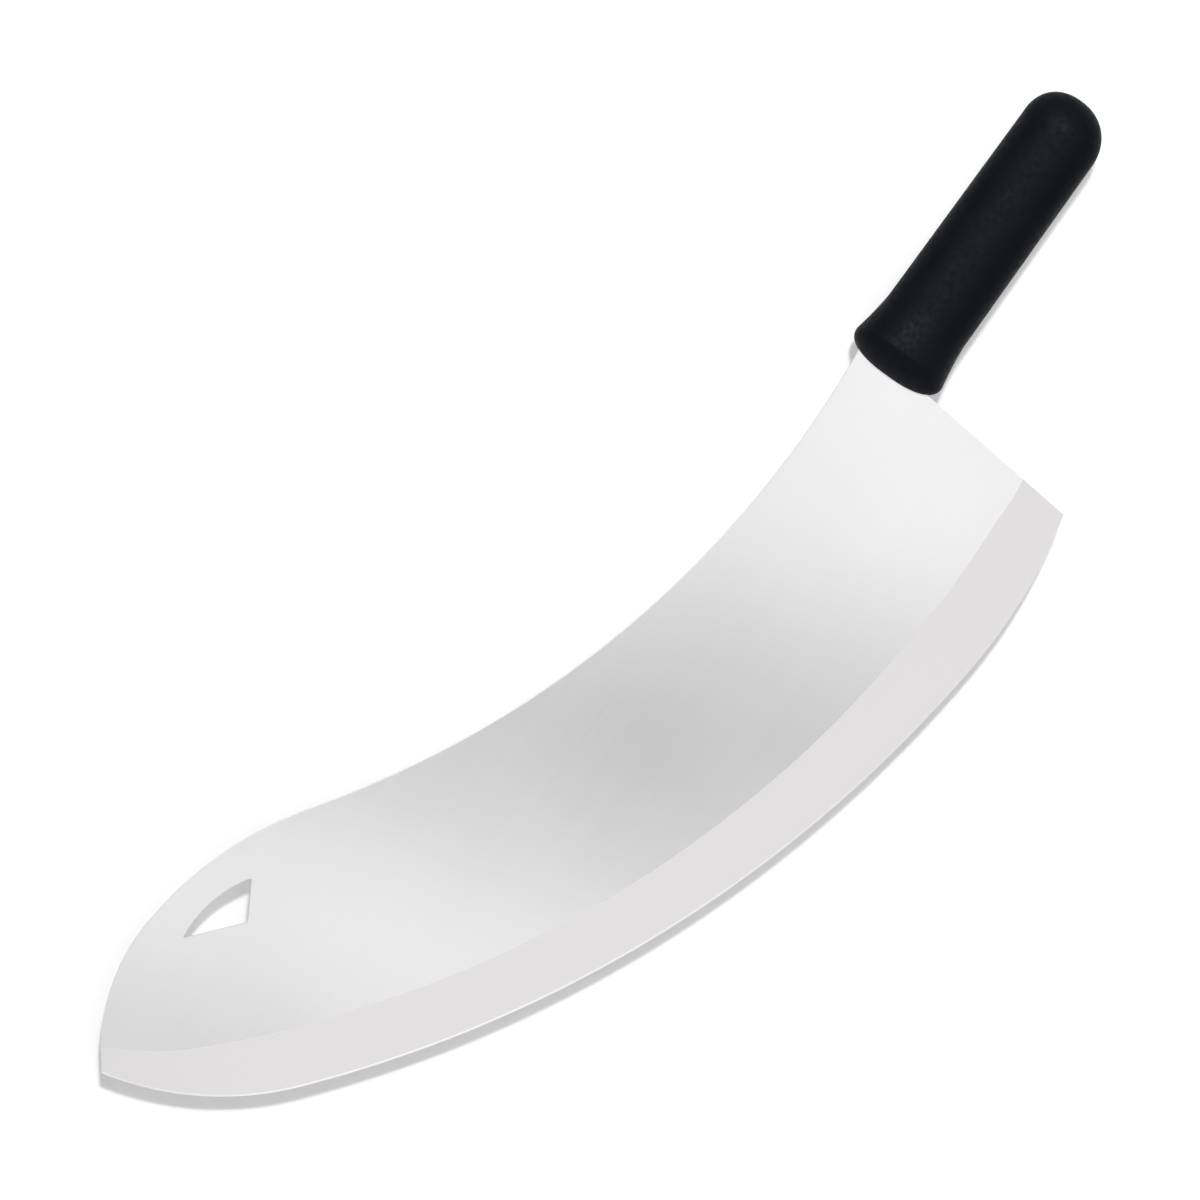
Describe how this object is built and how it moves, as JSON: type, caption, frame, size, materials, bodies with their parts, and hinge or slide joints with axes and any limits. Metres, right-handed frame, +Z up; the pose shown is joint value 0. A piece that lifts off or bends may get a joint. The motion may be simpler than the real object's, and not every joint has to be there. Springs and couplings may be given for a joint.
{
  "type": "mincing knife",
  "caption": "Curved mincing knife: broad steel blade with a hollow spine, a rounded nose with a hanging eye and a long bevelled rocking edge, on a flared moulded handle.",
  "frame": {"origin": "under the middle of the knife's box, on the level of the handle's lowest line, with the knife lying on its side", "axes": "+X along the handle towards the blade's nose, +Y towards the cutting edge, +Z up and square to the blade's faces"},
  "size_m": [0.5446, 0.2092, 0.031],
  "materials": {
    "steel": "finely ground stainless steel, bare",
    "core_plastic": "plain moulded",
    "grip_plastic": "finely textured, satin black"
  },
  "bodies": {
    "root": {"blade": "steel", "handle_core": "core_plastic", "handle_grip": "grip_plastic"}
  },
  "joints": []
}
